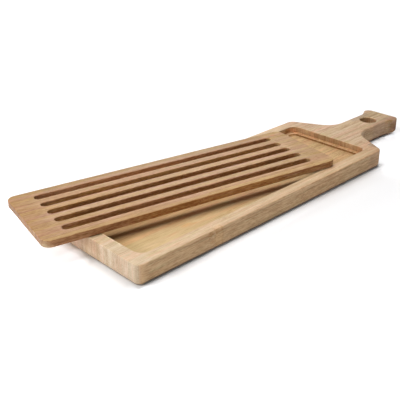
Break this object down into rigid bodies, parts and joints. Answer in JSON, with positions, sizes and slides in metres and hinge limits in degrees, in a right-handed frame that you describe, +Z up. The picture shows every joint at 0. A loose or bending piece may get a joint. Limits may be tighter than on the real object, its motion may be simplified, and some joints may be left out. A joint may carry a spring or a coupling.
{
  "type": "bread board",
  "caption": "Bamboo bread board with a stepped crumb recess, a waisted handle with a hang hole, and a loose slotted grid lying askew on top.",
  "frame": {"origin": "on the underside, on the centre line, at the middle of the recessed body (175 mm from its plain end)", "axes": "+X along the board towards the handle, +Z up out of the recess, +Y across to the side that the grid's free end is turned to"},
  "size_m": [0.4923, 0.1739, 0.0273],
  "materials": {
    "board_bamboo": "oiled satin bamboo, strips on edge",
    "grid_bamboo": "oiled satin bamboo, slightly redder than the board"
  },
  "bodies": {
    "board": {"tray_board": "board_bamboo"},
    "grid": {"crumb_grid": "grid_bamboo"}
  },
  "joints": [
    {"name": "grid_lift", "type": "slide", "parent": "board", "child": "grid", "axis": [0, 0, 1], "range_m": [0, 0.1]}
  ]
}
